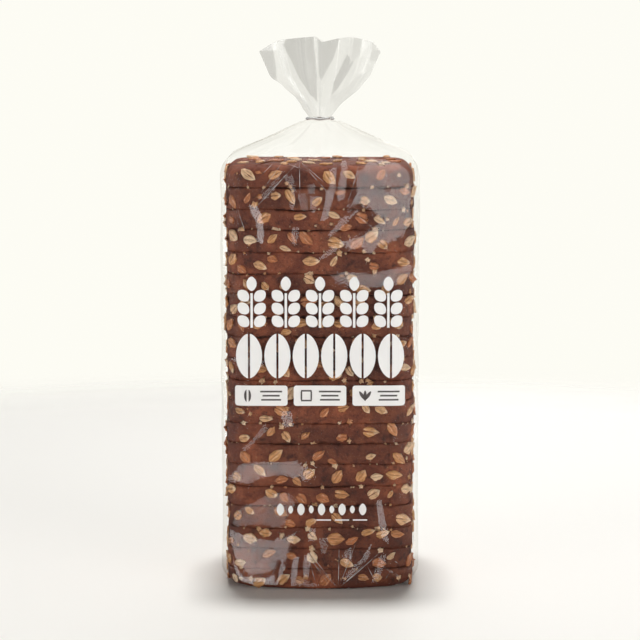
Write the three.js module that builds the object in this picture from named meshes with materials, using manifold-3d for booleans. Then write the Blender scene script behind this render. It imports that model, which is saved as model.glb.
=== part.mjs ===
// A clear bread bag drawn tight round a stack of bread slices and closed at the neck by a wire clip.
// Millimetres, +Z up. The origin is on the surface it stands on, under the middle of the loaf, and the
// printed front of the bag faces -Y. The bag and what fills it are one solid, as the bag is shut.
import * as THREE from "three";
import { mergeVertices } from "three/addons/utils/BufferGeometryUtils.js";
import Module from "manifold-3d";

const wasm = await Module();
wasm.setup();

const { degToRad, lerp, smoothstep } = THREE.MathUtils;

// The loaf, which stands on its end
const SLICES = 20;
const SLICE_THICKNESS = 11.3;
const LOAF_WIDTH = 98.4;
const LOAF_DEPTH = 95;
const CORNER_RADIUS = 13;
const CROWN = 0.9; // how far the middle of each side stands out past its ends
const SEAM_DEPTH = 0.9; // of the groove between two slices
const SEAM_HALF_HEIGHT = 0.9;
const CORNER_POINTS = 4; // of the outline, on each corner's arc
const SIDE_POINTS = 3; // between two corners

// The most that one slice differs from the next
const SEAM_SHIFT = 0.5; // of the cut's height
const SLICE_SHIFT = 0.6; // out of line
const SLICE_TURN = 0.008; // radians
const SLICE_GROWTH = 0.006; // share of its size

// The loaf's foot from the floor up: how far it is drawn in, and how round its corners are there
const FOOT = [
  { z: 0, inset: 7, corner: 24 },
  { z: 1.4, inset: 3.4, corner: 22 },
  { z: 4, inset: 1.3, corner: 19 },
  { z: 7.5, inset: 0.3, corner: 15.5 },
];

// The film over the loaf's top end: half its width at each height. It turns from square to round on
// the way from the first width that is still square to the neck.
const CLIP_HEIGHT = 249;
const NECK_RADIUS = 6.3;
const SHOULDERS = [
  { wide: 50, z: 219.5 },
  { wide: 49.5, z: 224 },
  { wide: 46.8, z: 228.2 },
  { wide: 42, z: 231.2 },
  { wide: 34, z: 235.4 },
  { wide: 25, z: 239.6 },
  { wide: 16, z: 244 },
  { wide: 10, z: 246.8 },
  { wide: NECK_RADIUS, z: CLIP_HEIGHT - 0.9 },
  { wide: NECK_RADIUS, z: CLIP_HEIGHT + 3 },
];
const LAST_SQUARE = 48;
const FIRST_ROUND = 14;

// The oat flakes on the crust
const FLAKES = 124;
const FLAKE_SIDES = 6;
const LONGEST_FLAKE = 10.5;
const SHORTEST_FLAKE = 7.5;
const FLAKE_RATIO = 0.62; // width to length
const FLAKE_RISE = 0.9; // of its top over the crust
const FLAKE_ROOT = 0.7; // of its foot in the crust
const FLAKE_BEVEL = 0.7; // size of its top to its foot
const FLAKE_LEAN = 1.1; // the most that it is turned from level, in radians
const LOWEST_FLAKE = 7; // height of its middle
const FLAKE_SPACING = 20; // between the middles of two flakes
const SPACING_EASE = 0.97; // what is left of that after each place that isn't clear

// The clip
const WIRE = 1.2; // thickness of the clip's wire
const CLIP_GAP = 0.35; // clear space between the film and the wire
const CLIP_TURN = 344; // degrees that the wire goes round the neck
const CLIP_START = -38; // degrees from the right to its first end
const CLIP_WAVER = 0.25; // how far the wire strays up and down, in waves round the neck
const CLIP_WAVES = 5;

// The fan of film above the clip: half its width and half its depth against the height over the clip
const FAN_HEIGHT = 43.5;
const FAN_FOOT = 0.6; // its start over the clip's height
const FAN_WALL = 1.5;
const FAN_STEPS = 6;
const FAN_PROFILE = [
  { rise: 0, wide: 5.2, deep: 4.2 },
  { rise: 7.4, wide: 11.4, deep: 7 },
  { rise: 14.7, wide: 20.6, deep: 10 },
  { rise: 22.6, wide: 27.2, deep: 12.5 },
  { rise: 35.8, wide: 33, deep: 15 },
  { rise: FAN_HEIGHT, wide: 33.6, deep: 15.5 },
];
// Each fold of the fan from left to right: its place across the width and the depth, from -1 to 1, and
// how far its top is below the highest fold
const FAN_FOLDS = [
  { across: -1, back: 0.2, below: 8 },
  { across: -0.7, back: -0.5, below: 2.2 },
  { across: -0.58, back: 0.55, below: 1.6 },
  { across: -0.32, back: -0.5, below: 0.7 },
  { across: -0.24, back: 0.15, below: 0.4 },
  { across: -0.08, back: -0.4, below: 0 },
  { across: 0.03, back: 0.75, below: 3 },
  { across: 0.3, back: -0.55, below: 0.9 },
  { across: 0.53, back: 0.75, below: 0.3 },
  { across: 0.69, back: 0.05, below: 1.4 },
  { across: 0.84, back: 0.65, below: 2.6 },
  { across: 1, back: 0.2, below: 8.4 },
];

// A slice's own amount from -1 to 1. Each kind of difference between slices has its own number.
function unevenness(slice, kind) {
  return 0.6 * Math.sin(2.4 * slice + 1.7 * kind) + 0.4 * Math.sin(5.3 * slice + 4.1 * kind);
}

// Numbers from 0 to 1 that are the same on every run
let seed = 20417;
function draw() {
  seed = (Math.imul(seed, 1664525) + 1013904223) >>> 0;
  return seed / 2 ** 32;
}

// The height of the cut under a slice
function seamHeight(slice) {
  const inside = slice > 0 && slice < SLICES;
  return slice * SLICE_THICKNESS + (inside ? SEAM_SHIFT * unevenness(slice, 3) : 0);
}

// A rounded rectangle with crowned sides, seen from above, anticlockwise from the middle of the left side
function roundedOutline(halfWidth, halfDepth, radius, crown) {
  const points = [];
  const corners = [
    { x: -1, y: -1, from: Math.PI },
    { x: 1, y: -1, from: 1.5 * Math.PI },
    { x: 1, y: 1, from: 0 },
    { x: -1, y: 1, from: 0.5 * Math.PI },
  ];
  for (const corner of corners) {
    const centre = new THREE.Vector2(corner.x * (halfWidth - radius), corner.y * (halfDepth - radius));
    for (let i = 0; i < CORNER_POINTS; i++) {
      const angle = corner.from + (i / (CORNER_POINTS - 1)) * 0.5 * Math.PI;
      points.push(new THREE.Vector2(Math.cos(angle), Math.sin(angle)).multiplyScalar(radius).add(centre));
    }
    const next = corners[(corners.indexOf(corner) + 1) % corners.length];
    const last = points[points.length - 1];
    const outward = new THREE.Vector2(corner.x + next.x, corner.y + next.y).multiplyScalar(0.5);
    const end = new THREE.Vector2(
      next.x * (halfWidth - radius) + outward.x * radius,
      next.y * (halfDepth - radius) + outward.y * radius,
    );
    for (let i = 1; i <= SIDE_POINTS; i++) {
      const share = i / (SIDE_POINTS + 1);
      const bulge = crown * 4 * share * (1 - share);
      points.push(last.clone().lerp(end, share).addScaledVector(outward, bulge));
    }
  }
  return points;
}

// A slice's outline at some inset from its crust, shifted and turned as it lies in the stack
function sliceOutline(slice, inset, corner = CORNER_RADIUS) {
  const grown = 1 + SLICE_GROWTH * unevenness(slice, 5);
  const halfWidth = (LOAF_WIDTH / 2) * grown - inset;
  const halfDepth = (LOAF_DEPTH / 2) * grown - inset;
  const turn = SLICE_TURN * unevenness(slice, 4);
  const shift = new THREE.Vector2(unevenness(slice, 1), unevenness(slice, 2)).multiplyScalar(SLICE_SHIFT);
  const outline = roundedOutline(halfWidth, halfDepth, corner, CROWN);
  return outline.map((p) => p.rotateAround(new THREE.Vector2(), turn).add(shift));
}

function ringAt(outline, z) {
  return outline.map((p) => new THREE.Vector3(p.x, p.y, z));
}

// The stack of slices with a groove at each cut, and the bag's shoulders over it
function columnRings() {
  const rings = FOOT.map(({ z, inset, corner }) => ringAt(sliceOutline(0, inset, corner), z));
  for (let slice = 0; slice < SLICES; slice++) {
    const top = seamHeight(slice + 1);
    if (slice > 0) {
      rings.push(ringAt(sliceOutline(slice, SEAM_DEPTH), seamHeight(slice)));
      rings.push(ringAt(sliceOutline(slice, 0), seamHeight(slice) + SEAM_HALF_HEIGHT));
    }
    if (slice + 1 < SLICES) rings.push(ringAt(sliceOutline(slice, 0), top - SEAM_HALF_HEIGHT));
  }
  return [...rings, ...shoulderRings()];
}

// The film over the loaf's top end narrows from the loaf's rounded square to a round neck
function shoulderRings() {
  return SHOULDERS.map(({ wide, z }) => {
    const roundness = smoothstep(LAST_SQUARE - wide, 0, LAST_SQUARE - FIRST_ROUND);
    const depth = wide * lerp(LOAF_DEPTH / LOAF_WIDTH, 1, roundness);
    const square = roundedOutline(wide, depth, (wide * CORNER_RADIUS * 2) / LOAF_WIDTH, 0);
    return ringAt(square.map((p) => p.lerp(p.clone().setLength(wide), roundness)), z);
  });
}

// A closed mesh through rings with the same number of points. Its two ends are given as triangles that
// face along the way from the first ring to the last.
function loft(rings, endFaces) {
  const count = rings[0].length;
  const faces = [];
  for (let r = 0; r + 1 < rings.length; r++) {
    for (let i = 0; i < count; i++) {
      const a = r * count + i;
      const b = r * count + ((i + 1) % count);
      faces.push(a, b, b + count, a, b + count, a + count);
    }
  }
  const lastRing = (rings.length - 1) * count;
  for (const [a, b, c] of endFaces(rings[0])) faces.push(c, b, a);
  for (const corners of endFaces(rings[rings.length - 1])) {
    faces.push(...corners.map((corner) => lastRing + corner));
  }
  const geometry = new THREE.BufferGeometry();
  const positions = rings.flat().flatMap((p) => [p.x, p.y, p.z]);
  geometry.setAttribute("position", new THREE.Float32BufferAttribute(positions, 3));
  geometry.setIndex(faces);
  return geometry;
}

// The faces of a level end of any outline
function levelEnd(ring) {
  return THREE.ShapeUtils.triangulateShape(ring.map((p) => new THREE.Vector2(p.x, p.y)), []);
}

// The faces of an end without hollows in its outline
function fanEnd(ring) {
  return ring.slice(2).map((_, i) => [0, i + 1, i + 2]);
}

// A geometry as a solid that can be joined and cut, and back again
function toSolid(geometry) {
  const merged = mergeVertices(geometry, 1e-4);
  return new wasm.Manifold(
    new wasm.Mesh({
      numProp: 3,
      vertProperties: new Float32Array(merged.attributes.position.array),
      triVerts: new Uint32Array(merged.index.array),
    }),
  );
}

function toGeometry(solid) {
  const mesh = solid.getMesh();
  const geometry = new THREE.BufferGeometry();
  const positions = [];
  for (let i = 0; i < mesh.numVert; i++) {
    positions.push(...mesh.vertProperties.subarray(i * mesh.numProp, i * mesh.numProp + 3));
  }
  geometry.setAttribute("position", new THREE.Float32BufferAttribute(positions, 3));
  geometry.setIndex(Array.from(mesh.triVerts));
  geometry.computeVertexNormals();
  return geometry;
}

// Where a flake lies: a share of the way round a slice's crust, as a point with the way out of the crust
function onCrust(slice, share, z) {
  const outline = sliceOutline(slice, 0);
  const lengths = outline.map((p, i) => p.distanceTo(outline[(i + 1) % outline.length]));
  let along = share * lengths.reduce((sum, length) => sum + length, 0);
  let i = 0;
  while (along > lengths[i] && i < lengths.length - 1) along -= lengths[i++];
  const next = outline[(i + 1) % outline.length];
  const point = outline[i].clone().lerp(next, along / lengths[i]);
  const ahead = next.clone().sub(outline[i]).normalize();
  return {
    point: new THREE.Vector3(point.x, point.y, z),
    ahead: new THREE.Vector3(ahead.x, ahead.y, 0),
    out: new THREE.Vector3(ahead.y, -ahead.x, 0),
  };
}

// The flakes' places: the largest first, each clear of those before it and, where it fits, of the cuts
function flakePlaces() {
  const places = [];
  for (let n = 0; n < FLAKES; n++) {
    const length = lerp(LONGEST_FLAKE, SHORTEST_FLAKE, n / FLAKES);
    let spacing = FLAKE_SPACING;
    for (let found = false; !found; spacing *= SPACING_EASE) {
      const slice = Math.floor(draw() * (SLICES - 1));
      const share = draw();
      const turn = (2 * draw() - 1) * FLAKE_LEAN;
      const halfHeight = length * Math.max(FLAKE_RATIO, Math.abs(Math.sin(turn))) * 0.45;
      const room = Math.max(0, SLICE_THICKNESS / 2 - halfHeight);
      const height = (slice + 0.5) * SLICE_THICKNESS + (2 * draw() - 1) * room;
      const place = { length, turn, ...onCrust(slice, share, Math.max(height, LOWEST_FLAKE)) };
      found = places.every((other) => other.point.distanceTo(place.point) > spacing);
      if (found) places.push(place);
    }
  }
  return places;
}

// One pressed oat: a six-sided flake that narrows to its top, its foot in the crust
function flake({ length, turn, point, ahead, out }) {
  const up = new THREE.Vector3(0, 0, 1);
  const along = ahead.clone().multiplyScalar(Math.cos(turn)).addScaledVector(up, Math.sin(turn));
  const across = out.clone().cross(along);
  const levels = [
    { size: 1, rise: -FLAKE_ROOT },
    { size: FLAKE_BEVEL, rise: FLAKE_RISE },
  ];
  const rings = levels.map(({ size, rise }) => {
    return Array.from({ length: FLAKE_SIDES }, (_, i) => {
      const angle = (2 * Math.PI * i) / FLAKE_SIDES;
      return point
        .clone()
        .addScaledVector(along, 0.5 * length * size * Math.cos(angle))
        .addScaledVector(across, 0.5 * length * FLAKE_RATIO * size * Math.sin(angle))
        .addScaledVector(out, rise);
    });
  });
  return loft(rings, fanEnd);
}

// The fan's half width and half depth at some rise over the clip
function fanSize(rise) {
  const above = FAN_PROFILE.findIndex((step) => step.rise >= rise);
  if (above <= 0) return FAN_PROFILE[0];
  const [low, high] = [FAN_PROFILE[above - 1], FAN_PROFILE[above]];
  const share = (rise - low.rise) / (high.rise - low.rise);
  return { wide: lerp(low.wide, high.wide, share), deep: lerp(low.deep, high.deep, share) };
}

// A point of a fold line, from the clip at share 0 to the bag's mouth at share 1
function foldPoint(fold, share) {
  const rise = (FAN_HEIGHT - fold.below) * share;
  const { wide, deep } = fanSize(rise);
  return new THREE.Vector3(fold.across * wide, fold.back * deep, CLIP_HEIGHT + FAN_FOOT + rise);
}

// The film between two folds, as a thin wall along Y that reaches a little past both
function fanPanel(left, right) {
  const half = new THREE.Vector3(0, FAN_WALL / 2, 0);
  const overlap = new THREE.Vector3(FAN_WALL / 4, 0, 0);
  const rings = [];
  for (let i = 0; i <= FAN_STEPS; i++) {
    const a = foldPoint(left, i / FAN_STEPS).sub(overlap);
    const b = foldPoint(right, i / FAN_STEPS).add(overlap);
    rings.push([a.clone().sub(half), b.clone().sub(half), b.clone().add(half), a.clone().add(half)]);
  }
  return loft(rings, fanEnd);
}

function bagGeometry() {
  let bag = toSolid(loft(columnRings(), levelEnd));
  for (const place of flakePlaces()) bag = bag.add(toSolid(flake(place)));
  for (let i = 0; i + 1 < FAN_FOLDS.length; i++) {
    bag = bag.add(toSolid(fanPanel(FAN_FOLDS[i], FAN_FOLDS[i + 1])));
  }
  return toGeometry(bag);
}

// The clip: a soft wire bent once round the neck, its two ends side by side at the right of the front
class ClipCurve extends THREE.Curve {
  getPoint(share, target = new THREE.Vector3()) {
    const angle = degToRad(CLIP_START + CLIP_TURN * share);
    const radius = NECK_RADIUS + CLIP_GAP + WIRE / 2;
    const waver = CLIP_WAVER * Math.sin(CLIP_WAVES * angle);
    return target.set(radius * Math.cos(angle), radius * Math.sin(angle), waver);
  }
}

function clipGeometry() {
  const section = new THREE.Shape();
  section.absarc(0, 0, WIRE / 2, 0, 2 * Math.PI);
  return new THREE.ExtrudeGeometry(section, {
    extrudePath: new ClipCurve(),
    steps: 40,
    curveSegments: 4,
    bevelEnabled: false,
  });
}

const filmOverCrust = new THREE.MeshStandardMaterial({ color: 0x6b3f34, roughness: 0.45, metalness: 0 });
const wire = new THREE.MeshStandardMaterial({ color: 0x9a9a97, roughness: 0.35, metalness: 0.9 });

const bag = new THREE.Mesh(bagGeometry(), filmOverCrust);
bag.name = "bag";

const clip = new THREE.Mesh(clipGeometry(), wire);
clip.name = "clip";
clip.position.z = CLIP_HEIGHT;

const baggedLoaf = new THREE.Group();
baggedLoaf.add(bag, clip);

export default baggedLoaf;
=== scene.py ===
import math

import bmesh
import bpy
import numpy as np
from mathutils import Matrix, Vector, geometry, noise


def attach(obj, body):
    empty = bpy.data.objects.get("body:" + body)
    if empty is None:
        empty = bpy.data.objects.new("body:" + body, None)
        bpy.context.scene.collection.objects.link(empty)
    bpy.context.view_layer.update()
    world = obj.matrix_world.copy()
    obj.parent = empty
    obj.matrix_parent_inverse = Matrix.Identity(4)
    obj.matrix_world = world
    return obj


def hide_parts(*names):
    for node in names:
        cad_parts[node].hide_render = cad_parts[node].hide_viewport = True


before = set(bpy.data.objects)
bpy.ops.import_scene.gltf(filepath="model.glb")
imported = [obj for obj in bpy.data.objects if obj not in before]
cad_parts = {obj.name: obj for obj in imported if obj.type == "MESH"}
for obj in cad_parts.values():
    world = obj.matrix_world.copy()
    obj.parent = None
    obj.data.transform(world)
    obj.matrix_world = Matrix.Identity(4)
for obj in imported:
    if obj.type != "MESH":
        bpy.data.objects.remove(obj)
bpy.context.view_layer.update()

# The loaf: twenty slices of dark wholegrain bread that keep the loaf's shape and stand on its end.
# Each is a block with the tin's rounded corners, a smooth crust round its sides and rough cut faces,
# a little turned and shifted against its neighbours. All sizes in this script are in millimetres.
MM = 0.001
SLICES = 20
SLICE_THICKNESS = 11.3
LOAF_WIDTH = 98.4
LOAF_DEPTH = 95
LOAF_CORNER = 13
LOAF_CROWN = 0.9  # how far the middle of each side stands out past its ends
SLICE_SHIFT = 0.6  # the most that a slice lies out of line
SLICE_TURN = 0.008  # the most that it is turned, in radians
SLICE_GROWTH = 0.006  # the most that it is wider than the rest, as a share
SEAM_STRAY = 0.5  # the most that a seam is off its even height
CUT = 0.12  # open space between two slices
CUT_SAG = 1.25  # how far the edge of a cut waves up and down
CUT_RINGS = (1.0, 1.4, 2.0, 3.0, 4.0)  # widths of the rings of faces on a cut, from its rim inwards
RIM = 0.4  # rounding of a cut edge
TOP_RIM = 6  # of the loaf's upper end
FOOT_RIM = (2.2, 12.5)  # of the end it stands on, at the middle of a side and at the corners
TOP_CORNER = 0.8  # how much more the upper end is rounded at its corners
FOOT_HEIGHT = 0.2  # of the lowest slice over the floor, on the folded film
CRUST_CELL = 0.75  # size of a face of the crust
CRUST_SWELL = 0.28  # height of the crust's wide unevenness
SWELL_SIZE = 10  # and how wide it is
CRUST_GRAIN = 0.16  # height of its fine unevenness
GRAIN_SIZE = 2.5
RAGGED = 1.7  # how deep crumbs are torn from a cut edge
RAGGED_BAND = 1.3  # how far from the edge
CRUMB_SIZE = 1.6
CRUST_DARK = (0.034, 0.0105, 0.0065, 1)
CRUST_BROWN = (0.14, 0.0325, 0.0145, 1)
CRUST_RUST = (0.3, 0.084, 0.037, 1)
BRAN_SPECK = (0.34, 0.17, 0.075, 1)
CHAR_SPECK = (0.016, 0.009, 0.008, 1)


def fresh(add, **settings):
    """Adds a primitive by its operator, with nothing else selected."""
    bpy.ops.object.select_all(action="DESELECT")
    add(**settings)
    return bpy.context.object


class Value:
    """A value on its way through a material's nodes. Sums on it add Math nodes."""

    def __init__(self, look, socket):
        self.look = look
        self.socket = socket

    def sum(self, operation, first, second):
        return self.look.node("Math", {"operation": operation}, {0: first, 1: second})

    def __add__(self, other):
        return self.sum("ADD", self, other)

    __radd__ = __add__

    def __sub__(self, other):
        return self.sum("SUBTRACT", self, other)

    def __rsub__(self, other):
        return self.sum("SUBTRACT", other, self)

    def __mul__(self, other):
        return self.sum("MULTIPLY", self, other)

    __rmul__ = __mul__

    def __truediv__(self, other):
        return self.sum("DIVIDE", self, other)

    def __pow__(self, other):
        return self.sum("POWER", self, other)

    def __abs__(self):
        return self.look.node("Math", {"operation": "ABSOLUTE"}, {0: self})


class Look:
    """A material, or the room's light, while its nodes are being made."""

    def __init__(self, name, kind="materials"):
        self.made = getattr(bpy.data, kind).new(name)
        self.made.use_nodes = True
        self.tree = self.made.node_tree
        self.tree.nodes.clear()

    def node(self, kind, settings=None, inlets=None, outlet=0):
        """Adds a node with its settings, then its inlets, and gives its outlet."""
        made = self.tree.nodes.new("ShaderNode" + kind)
        for name, setting in (settings or {}).items():
            if name == "stops":
                stops = made.color_ramp.elements
                while len(stops) < len(setting):
                    stops.new(1)
                for stop, (position, colour) in zip(stops, setting):
                    stop.position = position
                    stop.color = colour
            else:
                setattr(made, name, setting)
        for name, value in (inlets or {}).items():
            found = [s for s in made.inputs if name in (s.identifier, s.name)]
            socket = made.inputs[name] if isinstance(name, int) else found[0]
            if isinstance(value, Value):
                self.tree.links.new(value.socket, socket)
            else:
                socket.default_value = value
        return Value(self, made.outputs[outlet]) if made.outputs else None

    def place(self):
        return self.node("TexCoord", outlet="Object")

    def shift(self, place, way):
        return self.node("VectorMath", {"operation": "ADD"}, {0: place, 1: way})

    def cloud(self, place, size, detail=3.0, rough=0.55):
        """Soft noise from 0 to 1 whose lumps are about size millimetres across."""
        inlets = {"Vector": place, "Scale": 1 / (size * MM), "Detail": detail, "Roughness": rough}
        return self.node("TexNoise", {}, inlets)

    def cells(self, place, size, outlet="Distance"):
        inlets = {"Vector": place, "Scale": 1 / (size * MM)}
        return self.node("TexVoronoi", {}, inlets, outlet)

    def between(self, value, low, high):
        """0 where the value is under low and 1 where it is over high, and smooth between."""
        inlets = {"Value": value, "From Min": low, "From Max": high}
        return self.node("MapRange", {"interpolation_type": "SMOOTHSTEP"}, inlets)

    def blend(self, share, first, second):
        inlets = {"Factor_Float": share, "A_Color": first, "B_Color": second}
        return self.node("Mix", {"data_type": "RGBA"}, inlets, 2)

    def relief(self, height, depth, strength=1.0):
        inlets = {"Height": height, "Distance": depth * MM, "Strength": strength}
        return self.node("Bump", {}, inlets)

    def shine(self, **inlets):
        named = {name.replace("_", " "): value for name, value in inlets.items()}
        return self.node("BsdfPrincipled", {}, named)

    def finish(self, surface, kind="OutputMaterial"):
        self.node(kind, {}, {"Surface": surface})
        return self.made


def unevenness(slice_number, kind):
    """A slice's own amount from -1 to 1. Each kind of difference between slices has its own number."""
    slow = math.sin(2.4 * slice_number + 1.7 * kind)
    return 0.6 * slow + 0.4 * math.sin(5.3 * slice_number + 4.1 * kind)


def seam_height(slice_number):
    stray = SEAM_STRAY * unevenness(slice_number, 3) if 0 < slice_number < SLICES else 0
    return slice_number * SLICE_THICKNESS + stray


def round_square(along, half_width, half_depth, radius):
    """Points on a rounded rectangle and the way out of it. Along runs anticlockwise, from 0 at the front's
    middle, and is an array."""
    flat_x, flat_y, arc = half_width - radius, half_depth - radius, radius * math.pi / 2
    distance, side = np.abs(along), np.sign(along)
    stretch = [flat_x, arc, 2 * flat_y, arc, flat_x]
    ends = np.cumsum(stretch)
    front = distance <= ends[0]
    corner = (distance > ends[0]) & (distance <= ends[1])
    flank = (distance > ends[1]) & (distance <= ends[2])
    turned = (distance > ends[2]) & (distance <= ends[3])
    angle = np.select(
        [front, corner, flank, turned],
        [0, (distance - ends[0]) / radius, math.pi / 2, math.pi / 2 + (distance - ends[2]) / radius],
        math.pi,
    )
    out = np.stack([side * np.sin(angle), -np.cos(angle)], axis=-1)
    core_x = np.select([front, corner | flank | turned], [distance, flat_x], flat_x - (distance - ends[3]))
    core_y = np.select([front | corner, flank], [-flat_y, -flat_y + distance - ends[1]], flat_y)
    core = np.stack([side * core_x, core_y], axis=-1)
    return core + radius * out, out


def girth(half_width, half_depth, radius):
    return 4 * (half_width + half_depth - 2 * radius) + 2 * math.pi * radius


def foot_rounding(x, y):
    """Radius of the loaf's rim under a point of its outline. The foot is rounder towards its corners."""
    off_middle = np.minimum(np.abs(x) / (LOAF_WIDTH / 2), np.abs(y) / (LOAF_DEPTH / 2))
    return FOOT_RIM[0] + (FOOT_RIM[1] - FOOT_RIM[0]) * off_middle**2


def lay_in_stack(points, slice_number):
    """Grows, turns and shifts points as that slice lies in the stack."""
    turn = SLICE_TURN * unevenness(slice_number, 4)
    grown = 1 + SLICE_GROWTH * unevenness(slice_number, 5)
    x, y = points[:, 0] * grown, points[:, 1] * grown
    laid = points.copy()
    laid[:, 0] = x * math.cos(turn) - y * math.sin(turn) + SLICE_SHIFT * unevenness(slice_number, 1)
    laid[:, 1] = x * math.sin(turn) + y * math.cos(turn) + SLICE_SHIFT * unevenness(slice_number, 2)
    return laid


def select_parts(obj, kind, wanted):
    """Selects the edges or faces of a mesh in edit mode for which wanted says yes, and nothing else."""
    bpy.ops.mesh.select_mode(type=kind)
    bpy.ops.mesh.select_all(action="DESELECT")
    edit = bmesh.from_edit_mesh(obj.data)
    for part in edit.edges if kind == "EDGE" else edit.faces:
        part.select_set(bool(wanted(part)))
    bmesh.update_edit_mesh(obj.data)


def way_along(edge):
    return edge.verts[1].co - edge.verts[0].co


def points_of(mesh):
    flat = np.empty(3 * len(mesh.vertices))
    mesh.vertices.foreach_get("co", flat)
    return flat.reshape(-1, 3)


def put_points(mesh, points):
    mesh.vertices.foreach_set("co", points.astype(np.float32).ravel())
    mesh.update()


def dress(obj, material):
    """Gives a piece its material, and its place among the CAD's nodes."""
    obj.data.materials.clear()
    obj.data.materials.append(material)
    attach(obj, "root")
    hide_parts("bag")


def into_frame(obj, material):
    """Brings a piece that was made in millimetres into the frame, in place of the CAD's filled bag."""
    put_points(obj.data, points_of(obj.data) * MM)
    dress(obj, material)


def slice_block():
    """One straight slice: a block with round corners whose sides are cut into small faces."""
    block = fresh(bpy.ops.mesh.primitive_cube_add, size=1)
    bpy.ops.transform.resize(value=(LOAF_WIDTH, LOAF_DEPTH, SLICE_THICKNESS))
    bpy.ops.object.transform_apply(scale=True)
    bpy.ops.object.mode_set(mode="EDIT")
    select_parts(block, "EDGE", lambda edge: abs(way_along(edge).z) > 1)
    corner_steps = round(LOAF_CORNER * math.pi / 2 / CRUST_CELL)
    bpy.ops.mesh.bevel(offset=LOAF_CORNER, segments=corner_steps, profile=0.5)
    select_parts(block, "EDGE", lambda edge: abs(way_along(edge).z) > 1)
    bpy.ops.mesh.subdivide(number_cuts=round(SLICE_THICKNESS / CRUST_CELL) - 1)
    select_parts(block, "EDGE", lambda edge: way_along(edge).xy.length > 4)
    bpy.ops.mesh.subdivide(number_cuts=round((LOAF_WIDTH - 2 * LOAF_CORNER) / CRUST_CELL) - 1)
    for ring in CUT_RINGS:
        select_parts(block, "FACE", lambda face: len(face.verts) > 40)
        bpy.ops.mesh.inset(thickness=ring)
    bpy.ops.object.mode_set(mode="OBJECT")
    return block


def shape_slice(mesh, slice_number):
    """Gives one straight slice its own unevenness and its place in the loaf."""
    points = points_of(mesh)
    flat_x, flat_y = LOAF_WIDTH / 2 - LOAF_CORNER, LOAF_DEPTH / 2 - LOAF_CORNER
    share = points[:, 2] / SLICE_THICKNESS + 0.5
    core = np.clip(points[:, :2], (-flat_x, -flat_y), (flat_x, flat_y))
    out = points[:, :2] - core
    reach = np.linalg.norm(out, axis=1)
    out = out / np.maximum(reach, 1e-6)[:, None]
    crusted = reach > LOAF_CORNER - 0.05
    on_side = crusted & (np.abs(out).max(axis=1) > 0.999)
    off_middle = np.where(np.abs(out[:, 0]) > 0.5, points[:, 1] / flat_y, points[:, 0] / flat_x)
    bulge = np.where(on_side, LOAF_CROWN * np.clip(1 - off_middle**2, 0, 1), 0)
    cornered = 2 * np.abs(out[:, 0] * out[:, 1])
    last, first = slice_number == SLICES - 1, slice_number == 0
    low = seam_height(slice_number) + (FOOT_HEIGHT if first else CUT / 2)
    high = seam_height(slice_number + 1) - (0 if last else CUT / 2)
    height = low + share * (high - low)
    top_rim = TOP_RIM if last else RIM
    foot_rim = foot_rounding(points[:, 0], points[:, 1]) if first else RIM
    from_top = np.clip(1 - (high - height) / top_rim, 0, 1)
    from_foot = np.clip(1 - (height - low) / foot_rim, 0, 1)
    rounding = 1 - np.sqrt(1 - from_top**2), 1 - np.sqrt(1 - from_foot**2)
    edge = np.clip(1 - np.minimum(high - height, height - low) / RAGGED_BAND, 0, 1)
    relief, sag, crumbly = np.empty((3, len(points)))
    for i, (x, y) in enumerate(points[:, :2]):
        spot = Vector((x, y, height[i]))
        swell = noise.fractal(spot / SWELL_SIZE, 0.9, 2.1, 3)
        grain = noise.fractal(spot / GRAIN_SIZE, 0.8, 2.2, 2)
        patch = 0.3 + max(0.0, noise.noise(spot / 11) + 0.2)
        torn = max(0.0, noise.noise(spot / CRUMB_SIZE)) * patch
        relief[i] = CRUST_SWELL * swell + CRUST_GRAIN * grain - 2 * RAGGED * edge[i] * torn
        seam = slice_number + (share[i] > 0.5)
        wide_wave = noise.noise(Vector((x / 17, y / 17, 3.7 * seam)))
        sag[i] = wide_wave + 0.35 * noise.noise(Vector((x / 4, y / 4, 3.7 * seam)))
        crumb = noise.noise(Vector((x / 6, y / 6, 5.1 * slice_number + share[i])))
        crumbly[i] = 0.6 + 2.2 * max(0.0, crumb)
    inset = top_rim * rounding[0] * (1 + TOP_CORNER * cornered if last else crumbly)
    inset += foot_rim * rounding[1] * (1 if first else crumbly)
    drawn_in = points[:, :2] * (1 - inset[:, None] / 48)
    points[:, :2] = np.where(crusted[:, None], points[:, :2], drawn_in)
    points[:, :2] += out * np.where(crusted, bulge + relief - inset, 0)[:, None]
    if last:
        raised = np.where(share > 0.999, 0.6 * relief - 0.1, 0)
    elif first:
        raised = 0
    else:
        waver = CUT_SAG * sag * (2 * np.abs(share - 0.5)) ** 3
        raised = np.where(share < 0.001, 0.4, 1) * waver
    points[:, 2] = height + raised
    put_points(mesh, lay_in_stack(points, slice_number))


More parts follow.
